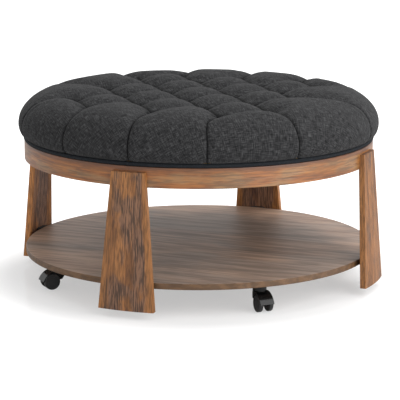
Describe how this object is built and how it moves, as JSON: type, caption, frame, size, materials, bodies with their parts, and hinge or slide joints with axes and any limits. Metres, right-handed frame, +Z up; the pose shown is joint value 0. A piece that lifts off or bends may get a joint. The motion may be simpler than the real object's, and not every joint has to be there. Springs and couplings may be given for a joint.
{
  "type": "ottoman coffee table",
  "caption": "Round coffee table with a diamond-tufted cushion top on a wooden apron, splayed bent panel legs, a low round shelf and swivelling hooded casters.",
  "frame": {"origin": "on the floor, under the middle of the table", "axes": "+Z up; the legs stand on the X and Y axes and the casters between them; -Y is the leg nearest the viewer in the picture"},
  "size_m": [0.9336, 0.9336, 0.486],
  "materials": {
    "charcoal_linen": "charcoal woven upholstery cloth",
    "welt_cloth": "dark woven piping",
    "foam": "open cell upholstery foam",
    "cambric": "thin black dust cover cloth",
    "plywood": "birch plywood",
    "apron_wood": "brushed, stained and waxed wood",
    "frame_wood": "planed pine",
    "leg_wood": "wire brushed, distressed wood",
    "shelf_wood": "brushed greyish brown wood",
    "zinc_steel": "zinc plated",
    "black_steel": "black powder coat",
    "black_rubber": "matte",
    "black_nylon": "moulded, half gloss",
    "wheel_nylon": "moulded"
  },
  "bodies": {
    "root": {"tufted_cushion": "charcoal_linen", "foam_core": "foam", "cushion_welt": "welt_cloth", "seat_board": "plywood", "dust_cover": "cambric", "apron_rear_right": "apron_wood", "apron_rear_left": "apron_wood", "apron_front_left": "apron_wood", "apron_front_right": "apron_wood", "splice_block_right": "frame_wood", "splice_block_rear": "frame_wood", "splice_block_left": "frame_wood", "splice_block_front": "frame_wood", "cross_rail_x": "frame_wood", "cross_rail_y": "frame_wood", "seat_screws": "zinc_steel", "leg_right": "leg_wood", "leg_rear": "leg_wood", "leg_left": "leg_wood", "leg_front": "leg_wood", "leg_bolts": "zinc_steel", "leg_bolt_washers": "zinc_steel", "leg_inserts": "zinc_steel", "shelf": "shelf_wood", "shelf_bracket_right": "black_steel", "shelf_bracket_rear": "black_steel", "shelf_bracket_left": "black_steel", "shelf_bracket_front": "black_steel", "shelf_spacer_right": "black_rubber", "shelf_spacer_rear": "black_rubber", "shelf_spacer_left": "black_rubber", "shelf_spacer_front": "black_rubber", "bracket_screws": "black_steel", "caster_plate_front_right": "black_steel", "caster_plate_rear_right": "black_steel", "caster_plate_rear_left": "black_steel", "caster_plate_front_left": "black_steel", "caster_pin_front_right": "zinc_steel", "caster_pin_rear_right": "zinc_steel", "caster_pin_rear_left": "zinc_steel", "caster_pin_front_left": "zinc_steel", "caster_screws": "black_steel"},
    "caster_front_right": {"caster_hood_front_right": "black_nylon", "caster_axle_front_right": "zinc_steel"},
    "wheel_front_right_1": {"caster_wheel_front_right_1": "wheel_nylon"},
    "wheel_front_right_2": {"caster_wheel_front_right_2": "wheel_nylon"},
    "caster_rear_right": {"caster_hood_rear_right": "black_nylon", "caster_axle_rear_right": "zinc_steel"},
    "wheel_rear_right_1": {"caster_wheel_rear_right_1": "wheel_nylon"},
    "wheel_rear_right_2": {"caster_wheel_rear_right_2": "wheel_nylon"},
    "caster_rear_left": {"caster_hood_rear_left": "black_nylon", "caster_axle_rear_left": "zinc_steel"},
    "wheel_rear_left_1": {"caster_wheel_rear_left_1": "wheel_nylon"},
    "wheel_rear_left_2": {"caster_wheel_rear_left_2": "wheel_nylon"},
    "caster_front_left": {"caster_hood_front_left": "black_nylon", "caster_axle_front_left": "zinc_steel"},
    "wheel_front_left_1": {"caster_wheel_front_left_1": "wheel_nylon"},
    "wheel_front_left_2": {"caster_wheel_front_left_2": "wheel_nylon"}
  },
  "joints": [
    {"name": "caster_front_right_swivel", "type": "hinge", "parent": "root", "child": "caster_front_right", "pos_m": [0.2605, -0.26975, 0.05], "axis": [0, 0, 1], "continuous": true},
    {"name": "wheel_front_right_1_roll", "type": "hinge", "parent": "caster_front_right", "child": "wheel_front_right_1", "pos_m": [0.27524, -0.2847, 0.02], "axis": [0.712, 0.7022, 0], "continuous": true},
    {"name": "wheel_front_right_2_roll", "type": "hinge", "parent": "caster_front_right", "child": "wheel_front_right_2", "pos_m": [0.27524, -0.2847, 0.02], "axis": [0.712, 0.7022, 0], "continuous": true},
    {"name": "caster_rear_right_swivel", "type": "hinge", "parent": "root", "child": "caster_rear_right", "pos_m": [0.26975, 0.2605, 0.05], "axis": [0, 0, 1], "continuous": true},
    {"name": "wheel_rear_right_1_roll", "type": "hinge", "parent": "caster_rear_right", "child": "wheel_rear_right_1", "pos_m": [0.28696, 0.27254, 0.02], "axis": [-0.5736, 0.8192, 0], "continuous": true},
    {"name": "wheel_rear_right_2_roll", "type": "hinge", "parent": "caster_rear_right", "child": "wheel_rear_right_2", "pos_m": [0.28696, 0.27254, 0.02], "axis": [-0.5736, 0.8192, 0], "continuous": true},
    {"name": "caster_rear_left_swivel", "type": "hinge", "parent": "root", "child": "caster_rear_left", "pos_m": [-0.2605, 0.26975, 0.05], "axis": [0, 0, 1], "continuous": true},
    {"name": "wheel_rear_left_1_roll", "type": "hinge", "parent": "caster_rear_left", "child": "wheel_rear_left_1", "pos_m": [-0.27886, 0.27993, 0.02], "axis": [-0.4848, -0.8746, 0], "continuous": true},
    {"name": "wheel_rear_left_2_roll", "type": "hinge", "parent": "caster_rear_left", "child": "wheel_rear_left_2", "pos_m": [-0.27886, 0.27993, 0.02], "axis": [-0.4848, -0.8746, 0], "continuous": true},
    {"name": "caster_front_left_swivel", "type": "hinge", "parent": "root", "child": "caster_front_left", "pos_m": [-0.26975, -0.2605, 0.05], "axis": [0, 0, 1], "continuous": true},
    {"name": "wheel_front_left_1_roll", "type": "hinge", "parent": "caster_front_left", "child": "wheel_front_left_1", "pos_m": [-0.28407, -0.27586, 0.02], "axis": [0.7314, -0.682, 0], "continuous": true},
    {"name": "wheel_front_left_2_roll", "type": "hinge", "parent": "caster_front_left", "child": "wheel_front_left_2", "pos_m": [-0.28407, -0.27586, 0.02], "axis": [0.7314, -0.682, 0], "continuous": true}
  ]
}
